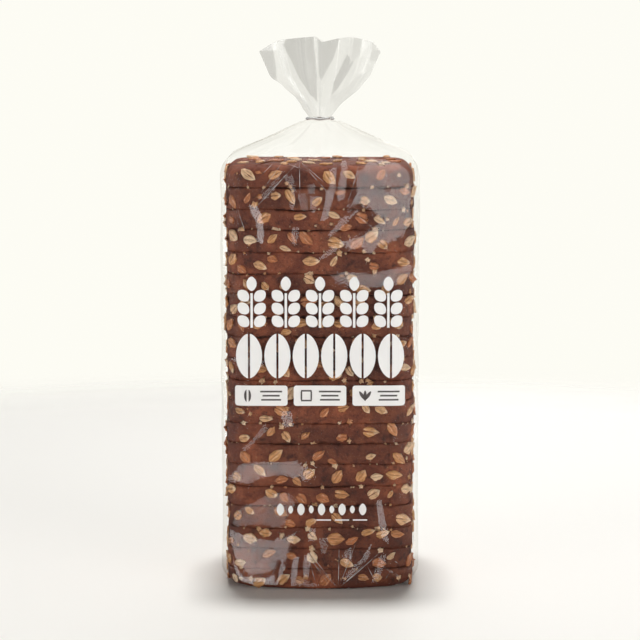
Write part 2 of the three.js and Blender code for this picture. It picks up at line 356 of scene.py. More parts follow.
def crust_material():
    look = Look("bread_crust")
    place = look.place()
    mottle = look.cloud(place, 14, 4)
    fine = look.cloud(place, 1.6, 4, 0.65)
    colour = look.blend(look.between(mottle, 0.35, 0.7), CRUST_BROWN, CRUST_RUST)
    colour = look.blend(look.between(look.cloud(place, 5, 5, 0.6), 0.5, 0.72) * 0.75, colour, CRUST_DARK)
    colour = look.blend(look.between(fine, 0.52, 0.7) * 0.65, colour, CRUST_DARK)
    colour = look.blend(look.between(fine, 0.45, 0.3) * 0.35, colour, CRUST_RUST)
    bran = look.between(look.cells(place, 2.6), 0.2, 0.1) * look.between(mottle, 0.5, 0.62)
    colour = look.blend(bran * 0.8, colour, BRAN_SPECK)
    char = look.between(look.cells(look.shift(place, (3, 1, 2)), 2.9), 0.14, 0.08)
    colour = look.blend(char * 0.8, colour, CHAR_SPECK)
    shaded = look.between(look.cloud(place, 38, 2), 0.42, 0.6)
    colour = look.blend(shaded * 0.4, colour, CRUST_DARK)
    bump = look.relief(fine + look.cells(place, 0.8) * 0.5, 0.3, 0.9)
    shine = look.shine(Base_Color=colour, Roughness=0.58 + 0.2 * fine, Normal=bump, Specular_IOR_Level=0.32)
    return look.finish(shine)


crust = crust_material()
block = slice_block()
for slice_number in range(SLICES):
    bread = block.copy()
    bread.data = block.data.copy()
    bread.name = bread.data.name = f"slice_{slice_number + 1:02d}"
    bpy.context.collection.objects.link(bread)
    shape_slice(bread.data, slice_number)
    bread.data.shade_smooth()
    into_frame(bread, crust)
bpy.data.objects.remove(block)

# The oat flakes: rolled oats pressed into the dough before baking, flat pointed ovals with a crease down
# the middle. They stick to the crust on every side and on the top end. The largest lie where the CAD
# model has them, and smaller ones fill the spaces between.
LONGEST_FLAKE = 10.5
SHORTEST_FLAKE = 7.5
CAD_FLAKES = 124
CAD_SPACING = 20
MORE_FLAKES = 430  # that the CAD model leaves out
MORE_LONGEST = 9.8
MORE_SHORTEST = 6.2
MORE_SPACING = 8.3
FLAKE_RATIO = 0.62  # of width to length
FLAKE_HEIGHTS = (4, 221.5)  # lowest and highest middle of a flake on the sides
FLAKE_SHRINK = 0.94  # a flake's length, as a share of what its place has
MODEL_THICKNESS = 0.075  # of a flake whose length is 1
TOP_FLAKES = 26
TOP_REACH = (42, 40)  # across and in depth from the middle of the upper end
TOP_SPACING = 12
FLAKE_OFF_CRUST = 0.05  # space under a flake
FLAKE_GOLD = (0.64, 0.305, 0.112, 1)
FLAKE_RUST = (0.52, 0.175, 0.062, 1)
FLAKE_PALE = (0.84, 0.61, 0.4, 1)
# the dark of fibres and scorch marks, and of the painted shade at a flake's rim and crease
FLAKE_DARK_AND_SHADE = (0.15, 0.06, 0.026, 1)


class Draws:
    """Numbers from 0 to 1 that are the same on every run."""

    def __init__(self, seed):
        self.seed = seed

    def next(self):
        self.seed = (self.seed * 1664525 + 1013904223) % 2**32
        return self.seed / 2**32

    def near(self, middle, spread):
        return middle + spread * (2 * self.next() - 1)


def on_crust(slice_number, share, z):
    """A point on a slice's crust, with the ways round and out of it."""
    whole = girth(LOAF_WIDTH / 2, LOAF_DEPTH / 2, LOAF_CORNER)
    start = LOAF_WIDTH / 2 - LOAF_CORNER + LOAF_CORNER * math.pi / 2
    along = (share * whole - start + whole / 2) % whole - whole / 2
    point, out = round_square(np.array([along]), LOAF_WIDTH / 2, LOAF_DEPTH / 2, LOAF_CORNER)
    flat_x, flat_y = LOAF_WIDTH / 2 - LOAF_CORNER, LOAF_DEPTH / 2 - LOAF_CORNER
    side = abs(out[0]).max() > 0.999
    off_middle = point[0, 1] / flat_y if abs(out[0, 0]) > 0.5 else point[0, 0] / flat_x
    from_top = min(max(1 - (SLICES * SLICE_THICKNESS - z) / TOP_RIM, 0), 1)
    inset = TOP_RIM * (1 - math.sqrt(1 - from_top**2))
    foot_rim = foot_rounding(point[0, 0], point[0, 1])
    from_foot = min(max(1 - z / foot_rim, 0), 1)
    inset += foot_rim * (1 - math.sqrt(1 - from_foot**2))
    point = point + out * ((LOAF_CROWN * max(0, 1 - off_middle**2) if side else 0) - inset)
    x, y = lay_in_stack(point, slice_number)[0]
    out = Vector((out[0, 0], out[0, 1], 0))
    return Vector((x, y, z)), Vector((-out.y, out.x, 0)), out


def crust_places(draws, count, longest, shortest, spacing, taken, slices=SLICES):
    """Places for flakes on the sides, the largest first, each clear of those already taken."""
    made = []
    for n in range(count):
        length = longest + (shortest - longest) * n / count
        apart = spacing
        while True:
            slice_number = int(draws.next() * slices)
            share = draws.next()
            turn = (draws.next() - 0.5) * 2.2
            lean = max(FLAKE_RATIO, abs(math.sin(turn)))
            room = max(0, SLICE_THICKNESS / 2 - length * lean * 0.45)
            height = (slice_number + 0.5) * SLICE_THICKNESS + (draws.next() * 2 - 1) * room
            height = min(max(height, FLAKE_HEIGHTS[0]), FLAKE_HEIGHTS[1])
            point, ahead, out = on_crust(slice_number, share, height)
            clear = all((point - other["point"]).length > apart for other in taken + made)
            apart *= 0.97  # a flake that finds no place makes do with less room
            if clear:
                made.append({"length": length, "turn": turn, "point": point, "ahead": ahead, "out": out})
                break
    return made


def end_places(draws, count):
    """Places for flakes on the loaf's upper end."""
    made = []
    while len(made) < count:
        x, y = draws.near(0, TOP_REACH[0]), draws.near(0, TOP_REACH[1])
        point = Vector((x, y, SLICES * SLICE_THICKNESS))
        if all((point - other["point"]).length > TOP_SPACING for other in made):
            ways = {"ahead": Vector((1, 0, 0)), "out": Vector((0, 0, 1)), "turn": draws.near(0, 3)}
            made.append({"length": draws.near(8.5, 1.5), "point": point, **ways})
    return made


def give_wall(obj, thickness, offset):
    wall = obj.modifiers.new("wall", "SOLIDIFY")
    wall.thickness, wall.offset = thickness, offset
    bpy.context.view_layer.objects.active = obj
    bpy.ops.object.modifier_apply(modifier=wall.name)
    return obj


def flake_model(name, ratio, crease, curl):
    """One oat flake of length 1 in the XY plane, made from a flat grid that is drawn in to two points."""
    flake = fresh(bpy.ops.mesh.primitive_grid_add, x_subdivisions=7, y_subdivisions=4, size=2)
    flake.name = name
    points = points_of(flake.data)
    u, v = points[:, 0].copy(), points[:, 1].copy()
    width = np.clip(1.02 - np.abs(u) ** 1.8, 0, 1) ** 0.75 * (1 - 0.18 * u)
    dome = np.sqrt(np.clip(1 - 0.9 * v**2, 0, 1)) * (1 - 0.55 * u**4)
    points[:, 0] = 0.5 * u
    points[:, 1] = 0.5 * ratio * width * v
    groove = crease * np.exp(-((v / 0.2) ** 2)) * (1 - 0.7 * u**2)
    points[:, 2] = 0.06 * dome - groove + curl * np.abs(u) ** 3 * np.sign(u)
    put_points(flake.data, points)
    return give_wall(flake, 0.05, -1)


def new_object(name, data):
    obj = bpy.data.objects.new(name, data)
    bpy.context.collection.objects.link(obj)
    return obj


def scatter(name, model, places, draws, thickness):
    """One mesh of a copy of the model at every place, with each copy's tone and its own map."""
    base = points_of(model.data)
    faces = [list(face.vertices) for face in model.data.polygons]
    points, all_faces, tones, maps = [], [], [], []
    for n, place in enumerate(places):
        length, turn, out = place["length"] * FLAKE_SHRINK, place["turn"], place["out"]
        up = out.cross(place["ahead"]) * -1
        along = place["ahead"] * math.cos(turn) + up * math.sin(turn)
        across = out.cross(along)
        tilt = draws.near(0, 0.10)
        out = (out + along * tilt + across * draws.near(0, 0.10)).normalized()
        wide, bend = draws.near(1, 0.16), draws.near(0, 0.05)
        local = base * (length, length * wide, thickness / MODEL_THICKNESS)
        local[:, 1] += bend * length * (2 * base[:, 0]) ** 2
        ragged = np.array([noise.noise(Vector(p) * 9 + Vector((n * 3.1, 0, 0))) for p in base])
        rim = np.clip(np.abs(base[:, 1]) * 3.2, 0, 1)[:, None]
        torn_end = np.clip(2 * base[:, 0] - 0.35, 0, 1) * max(0.0, draws.near(-0.1, 0.9))
        local[:, :2] *= 1 + 0.26 * ragged[:, None] * rim
        local[:, 0] -= length * torn_end * (0.35 + 0.9 * ragged)
        local[:, 2] += 0.4 * ragged * thickness * rim[:, 0]
        basis = np.array([along, across, out])
        shifted = local @ basis + np.array(place["point"] + out * FLAKE_OFF_CRUST)
        all_faces += [[i + n * len(base) for i in face] for face in faces]
        points.append(shifted)
        tones.append(np.full(len(base), place.get("tone", draws.next())))
        maps.append(base[:, :2] + (0.5, 0.5))
    mesh = bpy.data.meshes.new(name)
    mesh.from_pydata(np.concatenate(points).tolist(), [], all_faces)
    mesh.attributes.new("tone", "FLOAT", "POINT").data.foreach_set("value", np.concatenate(tones))
    corners = np.empty(len(mesh.loops), dtype=np.int32)
    mesh.loops.foreach_get("vertex_index", corners)
    mesh.uv_layers.new(name="along_flake").data.foreach_set("uv", np.concatenate(maps)[corners].ravel())
    mesh.shade_smooth()
    bpy.data.objects.remove(model)
    return new_object(name, mesh)


def field(look, name, outlet="Fac"):
    """What a mesh keeps at each of its points under that name."""
    return look.node("Attribute", {"attribute_name": name}, {}, outlet)


def flake_material():
    look = Look("toasted_oat")
    place = look.place()
    tone = field(look, "tone")
    stops = [(0.0, FLAKE_RUST), (0.16, FLAKE_RUST), (0.4, FLAKE_GOLD), (0.66, FLAKE_GOLD), (1.0, FLAKE_PALE)]
    colour = look.node("ValToRGB", {"stops": stops}, {"Fac": tone})
    uv = look.node("UVMap", {"uv_map": "along_flake"})
    lengthwise = look.node("SeparateXYZ", {}, {0: uv}, 0)
    across = look.node("SeparateXYZ", {}, {0: uv}, 1)
    stretched = look.node("VectorMath", {"operation": "MULTIPLY"}, {0: uv, 1: (2.5, 11, 1)})
    its_own = look.shift(stretched, look.node("CombineXYZ", {}, {"Z": tone * 40}))
    fibre = look.node("TexNoise", {}, {"Vector": its_own, "Scale": 1.0, "Detail": 3.0})
    crease = look.between(abs(across - 0.5), 0.035, 0.005) * look.between(abs(lengthwise - 0.5), 0.45, 0.3)
    colour = look.blend(look.between(fibre, 0.5, 0.7) * 0.6, colour, FLAKE_DARK_AND_SHADE)
    colour = look.blend(look.between(fibre, 0.46, 0.28) * 0.65, colour, FLAKE_PALE)
    frayed = look.between(lengthwise + fibre * 0.35, 0.85, 1.05)
    colour = look.blend(frayed * look.between(tone, 0.3, 0.6), colour, FLAKE_PALE)
    # Painted shade: the rim of each flake and the groove of its crease are darkened where shadow would fall
    rim = look.between(abs(across - 0.5) + abs(lengthwise - 0.5) * 0.2, 0.36, 0.50)
    colour = look.blend(rim * 0.6, colour, FLAKE_DARK_AND_SHADE)
    colour = look.blend(crease * 0.35, colour, FLAKE_DARK_AND_SHADE)
    singed = look.between(look.cloud(place, 2.2, 3), 0.55, 0.75)
    colour = look.blend(singed * 0.3, colour, FLAKE_DARK_AND_SHADE)
    bump = look.relief(fibre - crease * 0.8, 0.35, 1.0)
    return look.finish(look.shine(Base_Color=colour, Roughness=0.5, Normal=bump))


cad_places = crust_places(
    Draws(20417), CAD_FLAKES, LONGEST_FLAKE, SHORTEST_FLAKE, CAD_SPACING, [], SLICES - 1
)
more_draws = Draws(77)
more_places = crust_places(
    more_draws, MORE_FLAKES, MORE_LONGEST, MORE_SHORTEST, MORE_SPACING, cad_places
)
top_places = end_places(more_draws, TOP_FLAKES)
oat = flake_material()
whole_places = cad_places[0::3] + cad_places[1::3] + more_places[0::2] + top_places
# Each kind's name, width to its length, depth of its crease, curl, thickness and places
flake_kinds = [
    ("oat_flakes", 0.6, 0.03, 0.03, 1.25, whole_places),
    ("split_oat_flakes", 0.64, 0.07, 0.07, 1.5, cad_places[2::3] + more_places[1::4]),
    ("slim_oat_flakes", 0.45, 0.045, 0.05, 1.35, more_places[3::4]),
]
for name, ratio, crease_depth, curl, thickness, places in flake_kinds:
    model = flake_model(name + "_model", ratio, crease_depth, curl)
    flakes = scatter(name, model, places, more_draws, thickness)
    into_frame(flakes, oat)

# Broken oats and crumbs: pale chips of flakes that the knife tore, left standing at the cuts and strewn
# over the crust. They are thin irregular plates, a few millimetres long at most.
CHIPS = 900
CHIP_LENGTH = (1.5, 7)
CHIP_THICKNESS = 0.085
CHIPS_AT_CUTS = 0.6  # share of the chips that stand at a cut
CHIP_HEIGHTS = (6, 222)  # lowest and highest
CHIP_RIM = (1.0, 0.5, 0.9, 0.35, 0.8, 1.1, 0.45, 0.75, 0.6)  # how far each point of its torn rim reaches


def chip_model():
    round_chip = {"vertices": len(CHIP_RIM), "radius": 0.5, "fill_type": "TRIFAN"}
    chip = fresh(bpy.ops.mesh.primitive_circle_add, **round_chip)
    points = points_of(chip.data)
    rim = np.linalg.norm(points, axis=1) > 0.4
    points[rim] *= np.array(CHIP_RIM)[:, None]
    points[:, 1] *= 0.55
    points[:, 2] = 0.06 * np.sin(9 * points[:, 0])
    put_points(chip.data, points)
    return give_wall(chip, 0.1, 0)


def chip_places(draws):
    made = []
    for _ in range(CHIPS):
        slice_number = int(draws.next() * SLICES)
        at_cut = draws.next() < CHIPS_AT_CUTS
        over_seam = draws.near(0, 0.7) if at_cut else draws.next() * SLICE_THICKNESS
        height = min(max(seam_height(slice_number) + over_seam, CHIP_HEIGHTS[0]), CHIP_HEIGHTS[1])
        point, ahead, out = on_crust(min(slice_number, SLICES - 1), draws.next(), height)
        length = CHIP_LENGTH[0] + (CHIP_LENGTH[1] - CHIP_LENGTH[0]) * draws.next() ** 2
        tone = 0.7 + 0.3 * draws.next() if at_cut else draws.next()
        ways = {"turn": draws.near(0, 3), "ahead": ahead, "out": out}
        made.append({"length": length, "tone": tone, "point": point, **ways})
    return made


chips = scatter("oat_chips", chip_model(), chip_places(more_draws), more_draws, CHIP_THICKNESS)
into_frame(chips, oat)

# The bag: one clear polypropylene sheet drawn round the loaf, folded under it and gathered to a neck.
# It stands a few millimetres off the crust in flat facets between sharp creases, which show where they
# catch a light. It is one skin, far thinner than anything else here.
FILM_WIDE = 51.9  # half its width
FILM_DEEP = 50.3  # half its depth
FILM_CORNER = 14.0
CLIP_HEIGHT = 249
FILM_COLUMNS_FRONT = 200
FILM_COLUMNS_REST = 130
FRONT_REACH = 61  # how far from the front's middle the finer faces go
FILM_STEP = 1.0  # height of a row of faces
FILM_TINT = (0.9, 0.89, 0.87, 1)  # of what little light the film scatters
# Half width and height of the film, from the middle of its foot up to the clip
FILM_PROFILE = [
    (2, 0.12), (20, 0.12), (36, 0.12), (45, 0.2), (48.4, 0.9), (50.4, 2.4), (51.4, 5), (51.9, 9),
    (51.9, 217), (51.7, 221), (50.8, 225.4), (48.2, 229), (42, 232.4), (34, 236), (25, 240), (16, 244.4),
    (10, 247), (6.9, 248.4), (6.2, 249), (6.2, 250),
]
# The flat panes and pleats of the front that mirror the light on the right, or on the left, into the
# camera: how strongly, and the corners across and up
RIGHT_PANES = [
    (1.25, [(18.5, 224.6), (27, 230), (42, 228.6), (47.6, 225), (49.6, 215), (41, 213.8),
        (18.5, 212.4)]),
    (1.4, [(18.5, 213.6), (41, 215), (49.6, 216.5), (49.6, 194), (43.6, 195.4), (31, 199), (22.5, 205),
        (18.5, 205.7), (14.5, 201), (13.2, 205.7)]),
    (0.8, [(18.5, 205), (20.5, 203), (12, 195.6), (5.3, 189), (4, 190), (10, 197)]),
    (1.3, [(8.6, 187.5), (15, 189.6), (26.4, 194), (34.4, 198.8), (43.6, 197), (49.6, 195.5),
        (45.6, 191), (36.3, 185.5), (25.8, 180), (19.8, 183.5), (14.5, 182), (10.6, 183.5)]),
    (0.7, [(11, 188), (3.3, 181), (-1.3, 177), (1.3, 177), (10, 183)]),
    (1.1, [(13, 171.6), (27, 170), (37, 173), (50, 176), (49, 168), (41.6, 163), (19, 161.5),
        (7.6, 164.4), (5, 170.7)]),
    (1.0, [(3.3, 213.4), (7.5, 213.4), (5.4, 204), (4, 198.4), (0.6, 197.6), (2.4, 205)]),
    (0.9, [(5.3, 224.6), (8.6, 225.2), (8, 212.4), (5.3, 212.4)]),
    (0.9, [(12, 228.6), (14.8, 228.6), (13.4, 216.5), (12.2, 209.5), (9.2, 208), (9.8, 216.5)]),
    (1.0, [(30, 49), (32.4, 49), (35, 35), (36.7, 26), (33.6, 27.4), (31, 37.6)]),
    (0.8, [(23.6, 19.8), (27.3, 25), (26, 18.5), (22.4, 14.7)]),
    (0.8, [(14.8, 9.6), (25, 20), (20, 12), (12.4, 4.5)]),
    (0.7, [(32.4, 19.8), (35, 19.8), (31, 7), (27.4, 3.2)]),
    (0.7, [(12.3, 19.8), (16, 23.6), (17.4, 17), (13.6, 13.4)]),
]
LEFT_PANES = [
    (0.5, [(-22.5, 222), (-18.5, 224), (-23.8, 214.5), (-27.8, 208.4), (-31.7, 209), (-26.5, 215)]),
    (0.6, [(-19, 221), (-15, 222), (-12, 212.4), (-14, 203), (-16, 205), (-14.6, 212.4)]),
    (0.55, [(-11.3, 211), (-6, 212.4), (-5.3, 203), (-9.3, 203)]),
    (0.6, [(-6.6, 216), (-2.7, 217), (-3.3, 211.8), (-6, 211.8)]),
    (0.7, [(-5.3, 210.4), (-0.7, 211), (-2.7, 201.7), (-4.6, 202.3)]),
    (0.7, [(-14.6, 194.3), (-11.2, 194.3), (-12.6, 184.8), (-14.6, 185.5)]),
    (1.5, [(-36.7, 205.7), (-33.7, 205.7), (-30.4, 201), (-29.4, 191.6), (-30.4, 186), (-32.7, 187.5),
        (-32.4, 193), (-33.4, 198), (-35.7, 201.7)]),
    (0.6, [(-29, 90.5), (-28, 87.7), (-36, 79), (-40, 75), (-40.6, 77), (-35, 82)]),
    (1.0, [(-20, 96.6), (-15, 96.6), (-14.2, 89), (-19.5, 88.4)]),
    (0.9, [(-48.7, 124.6), (-44, 125.6), (-30, 123.6), (-30, 121), (-44, 122)]),
    (1.25, [(-51.6, 60.5), (-44, 68.7), (-35, 69.4), (-22, 70.7), (-11.5, 70.7), (-6, 68), (-2.2, 65.3),
        (-3.5, 60), (-8.8, 57.8), (-11.5, 60.5), (-21.5, 62), (-29.5, 61), (-38, 58.5), (-50, 56.4)]),
    (0.75, [(-23, 53.7), (-17, 53.7), (-11.5, 49), (-14.2, 44), (-18, 34.7), (-25, 33.3), (-29.5, 36),
        (-38, 36), (-45.6, 33.3), (-47.6, 36.7), (-45.6, 43), (-39.6, 47), (-31.5, 51)]),
    (1.3, [(-49.6, 33.3), (-43, 32), (-28, 28), (-19.5, 29), (-11.5, 34), (-15, 25), (-18, 16.3),
        (-22, 15.6), (-23.5, 10), (-31.5, 8), (-39.6, 9), (-46, 17), (-49.6, 29)]),
    (1.5, [(-49.6, 33), (-35, 30.5), (-34, 9), (-39.6, 9), (-46, 17), (-49.6, 29)]),
    (1.4, [(-47, 16), (-40, 8.5), (-31.5, 7.5), (-24, 9), (-25, 2), (-36, 1.5), (-44, 4)]),
    (1.1, [(-21, 14.3), (-18, 21), (-18, 16.3), (-21.5, 6), (-24, 1.4), (-25, 2), (-22, 7.5)]),
    (1.1, [(-14.2, 17.7), (-11.5, 18.4), (-12.2, 11), (-14.2, 2), (-15.5, 2), (-15, 10)]),
    (0.9, [(-8.2, 19.7), (-4.8, 21), (-6.2, 8.2), (-8.8, 8.2)]),
    (0.7, [(-5.5, 33.3), (-2.2, 34), (-2.8, 27), (-6.2, 27)]),
    (0.6, [(-0.2, 28), (3.8, 29), (3.2, 19.7), (0.5, 21)]),
    (0.6, [(-15.5, 4.8), (-8.8, 6), (-0.8, 3.4), (-2.2, 1.4), (-14.2, 0.7)]),
]
CAMERA_PLACE = (0, -1250, 297)
CARD_RIGHT = (270, -1790, -60)  # middle of the light that the panes mirror
CARD_LEFT = (-270, -1790, -60)
PANES_REACH = 54  # how far from the front's middle panes are laid
PANE_EDGE = 0.7  # width of the crease round a pane
PANE_RIM = 1.1  # width of the dull strip round it
PANE_FADE = 2.0  # how far inside it its gleam has come up, where it comes up slowest
PANE_WANDER = 1.2  # how far its edges stray
PANE_HEIGHTS = (-0.1, 1.6)  # how far it may lie in or out of the film
NARROW_PANE = 3.5  # a pane that is narrower than twice this doesn't lift the film
NARROW_GROWTH = 0.5  # how much wider all round it is than its corners say
NARROW_WANDER = 0.5
NARROW_GAIN = 1.3  # how much more strongly it gleams
WANDER_SIZE = 9
CREASE_SPACING = 17
CREASE_HEIGHTS = (-2, 252)
CREASE_STRAY = (5, 6)  # across and up, of the points where creases meet
CREASE_LIFT = 1.1
FRONT_FLAT = 41  # how far from the front's middle its facets are flatter
FRONT_CREASE_LIFT = 0.4
SHEET_LAP = 60  # how far the unrolled sheet's facets go on past its ends, to join there
SHOULDER_START = 225
NECK_FOLDS = ((0.6, 11, 0), (0.35, 27, 0.2))  # height, number round the neck and start of its two sets
BEND_START = 36  # where the crumpled bends to the sides begin
BEND_OVER = 5  # and in how much they are at their most
BEND_TURN = 0.22
BEND_DULL = 0.85


def facet_lift(along, height, whole, draws):
    """The film's lift in flat facets between random creases, over its unrolled sheet."""
    lowest, tall = CREASE_HEIGHTS[0], CREASE_HEIGHTS[1] - CREASE_HEIGHTS[0]
    columns, rows = round(whole / CREASE_SPACING), round(tall / CREASE_SPACING)
    knots = []
    for i in range(columns):
        for j in range(rows + 1):
            x = whole * (i / columns - 0.5) + draws.near(0, CREASE_STRAY[0])
            z = lowest + tall * j / rows + draws.near(0, CREASE_STRAY[1])
            most = FRONT_CREASE_LIFT if abs(x) < FRONT_FLAT else CREASE_LIFT
            knots.append((x, z, most * draws.next()))
    inner = whole / 2 - SHEET_LAP
    knots += [(x + turn * whole, z, lift) for x, z, lift in knots for turn in (-1, 1) if x * turn < -inner]
    corners = [Vector((x, z)) for x, z, lift in knots]
    triangles = geometry.delaunay_2d_cdt(corners, [], [], 0, 1e-6)[2]
    lift = np.zeros((len(height), len(along)))
    for a, b, c in triangles:
        (xa, za, la), (xb, zb, lb), (xc, zc, lc) = knots[a], knots[b], knots[c]
        area = (xb - xa) * (zc - za) - (xc - xa) * (zb - za)
        cols = np.nonzero((along >= min(xa, xb, xc)) & (along <= max(xa, xb, xc)))[0]
        rows = np.nonzero((height >= min(za, zb, zc)) & (height <= max(za, zb, zc)))[0]
        if abs(area) < 1e-9 or not len(cols) or not len(rows):
            continue
        x, z = np.meshgrid(along[cols], height[rows])
        share_b = ((x - xa) * (zc - za) - (xc - xa) * (z - za)) / area
        share_c = ((xb - xa) * (z - za) - (x - xa) * (zb - za)) / area
        inside = (share_b >= 0) & (share_c >= 0) & (share_b + share_c <= 1)
        value = la + share_b * (lb - la) + share_c * (lc - la)
        part = lift[rows[0]:rows[-1] + 1, cols[0]:cols[-1] + 1]
        part[inside] = value[inside]
    return lift


def mirror_normal(x, z, card):
    """The way a flat pane of the front faces so that it mirrors a light into the camera."""
    spot = Vector((x, -FILM_DEEP, z))
    return ((Vector(CAMERA_PLACE) - spot).normalized() + (Vector(card) - spot).normalized()).normalized()


def pane_share(x, z, corners):
    """How far inside a pane each point is, and less than 0 outside."""
    inside = np.zeros(x.shape, dtype=bool)
    reach = np.full(x.shape, np.inf)
    for (x1, z1), (x2, z2) in zip(corners, corners[1:] + corners[:1]):
        wide, tall = x2 - x1, z2 - z1
        inside ^= ((z1 > z) != (z2 > z)) & (x < wide * (z - z1) / (tall or 1) + x1)
        along = np.clip(((x - x1) * wide + (z - z1) * tall) / (wide**2 + tall**2), 0, 1)
        reach = np.minimum(reach, np.hypot(x - x1 - along * wide, z - z1 - along * tall))
    return np.where(inside, reach, -reach)


def lay_panes(x, z, lift):
    """The lift with every pane laid in it, each flat, with the way it faces, its share and its gleam."""
    facing = np.zeros(x.shape + (3,))
    share, gleam = np.zeros(x.shape), np.zeros(x.shape)
    spots = np.stack([x, z], axis=-1).reshape(-1, 2) / WANDER_SIZE
    wander = np.array([noise.noise(Vector((a, b, 2.2))) for a, b in spots]).reshape(x.shape)
    fade = PANE_FADE * np.clip(0.5 + 1.4 * wander, 0.1, 1)
    panes = [(CARD_RIGHT, *pane) for pane in RIGHT_PANES] + [(CARD_LEFT, *pane) for pane in LEFT_PANES]
    for card, strength, corners in panes:
        narrow = pane_share(x, z, corners).max() < NARROW_PANE
        stray = (NARROW_WANDER if narrow else PANE_WANDER) * wander
        reach = pane_share(x + stray, z - stray, corners)
        if narrow:
            reach = reach + NARROW_GROWTH
            strength = NARROW_GAIN * strength
        soft = np.minimum(fade, 0.3 * reach.max())
        edge = np.clip(0.5 + reach / PANE_EDGE, 0, 1)
        middle_x, middle_z = np.mean(corners, axis=0)
        normal = mirror_normal(middle_x, middle_z, card)
        across, up = normal.x / normal.y, normal.z / normal.y
        flat = np.mean(lift[reach > 0]) + across * (x - middle_x) + up * (z - middle_z)
        if not narrow:
            lift = lift + edge * (np.clip(flat, *PANE_HEIGHTS) - lift)
        facing += edge[:, :, None] * (np.array(normal) - facing)
        share = np.maximum(share, edge)
        # Where two panes overlap, the one that gleams more shows, and neither has its dull rim there
        within = np.clip(0.3 + reach / soft, 0, 1) * strength - 1
        within = np.where(gleam > 0, np.maximum(within, gleam), within)
        round_it = (reach > -PANE_RIM) & (gleam <= 0)
        gleam = np.where(reach > 0, within, np.where(round_it, -1, gleam))
    return lift, facing, share, gleam


def zigzag(phase):
    """A wave of straight lines between -1 and 1."""
    return 4 * np.abs(phase - np.floor(phase + 0.5)) - 1


def film_rows():
    """Half width and height of each row of the film's faces, evenly along its profile."""
    knots = np.array(FILM_PROFILE, dtype=float)
    steps = np.hypot(*np.diff(knots, axis=0).T)
    reach = np.concatenate([[0], np.cumsum(steps)])
    foot = np.linspace(0, reach[3], 7)[:-1]
    body = np.linspace(reach[3], reach[-1], round((reach[-1] - reach[3]) / FILM_STEP))
    at = np.concatenate([foot, body])
    return np.interp(at, reach, knots[:, 0]), np.interp(at, reach, knots[:, 1])


def corner_creases(way_out, height):
    """What the film's corners lack of a round bend, as they are bent at a few creases that wander."""
    bend = np.arctan2(np.abs(way_out[:, 0]), np.abs(way_out[:, 1]))
    added = []
    for z in height:
        stray = [3 * noise.noise(Vector((z / 22, 7.3 * k, 0))) for k in range(3)]
        creases = np.radians([0, 17 + stray[0], 40 + stray[1], 64 + stray[2], 90])
        flat = np.stack([np.interp(bend, creases, way(creases)) for way in (np.sin, np.cos)], axis=-1)
        round_bend = np.stack([np.sin(bend), np.cos(bend)], axis=-1)
        added.append(FILM_CORNER * (flat - round_bend) * np.sign(way_out))
    return np.array(added)


def drawn_together(wide, height, start, over):
    """How far the bag's upper end is drawn together: 0 where its half width is start or more, and 1 where it
    is less by over."""
    return np.clip((start - wide) / over, 0, 1) * (height > CLIP_HEIGHT / 2)


def smooth_skin(outline, way_out, wide, height):
    """The bag's rows of points before its facets: square round the loaf, and round at the neck."""
    smooth = drawn_together(wide, height, 48, 34)
    roundness = smooth * smooth * (3 - 2 * smooth)
    size = (wide / FILM_WIDE)[:, None, None]
    square = (outline[None] + corner_creases(way_out, height)) * size
    circle = square / np.linalg.norm(square, axis=2, keepdims=True) * wide[:, None, None]
    flat = square + (circle - square) * roundness[:, None, None]
    rounder = foot_rounding(outline[:, 0], outline[:, 1]) - FOOT_RIM[0]
    drawn_in = rounder[None] * np.clip(1 - height / 12, 0, 1)[:, None] ** 2
    flat = flat - drawn_in[:, :, None] * way_out[None]
    return np.concatenate([flat, np.broadcast_to(height[:, None, None], flat.shape[:2] + (1,))], axis=2)


def ways_out(points):
    """The way out of a closed sheet at each of its points."""
    ring = np.roll(points, -1, axis=1) - np.roll(points, 1, axis=1)
    out = np.cross(ring, np.gradient(points, axis=0))
    return out / np.linalg.norm(out, axis=2, keepdims=True)


def neck_folds(outline):
    """The film's lift in folds that run up to the neck, for each point round it."""
    angle = np.arctan2(outline[:, 0], -outline[:, 1])[None, :] / (2 * math.pi)
    uneven = angle + 0.012 * np.sin(2 * math.pi * 3 * angle + 1) + 0.006 * np.sin(2 * math.pi * 7 * angle)
    return sum(high * zigzag(number * uneven + start) for high, number, start in NECK_FOLDS)


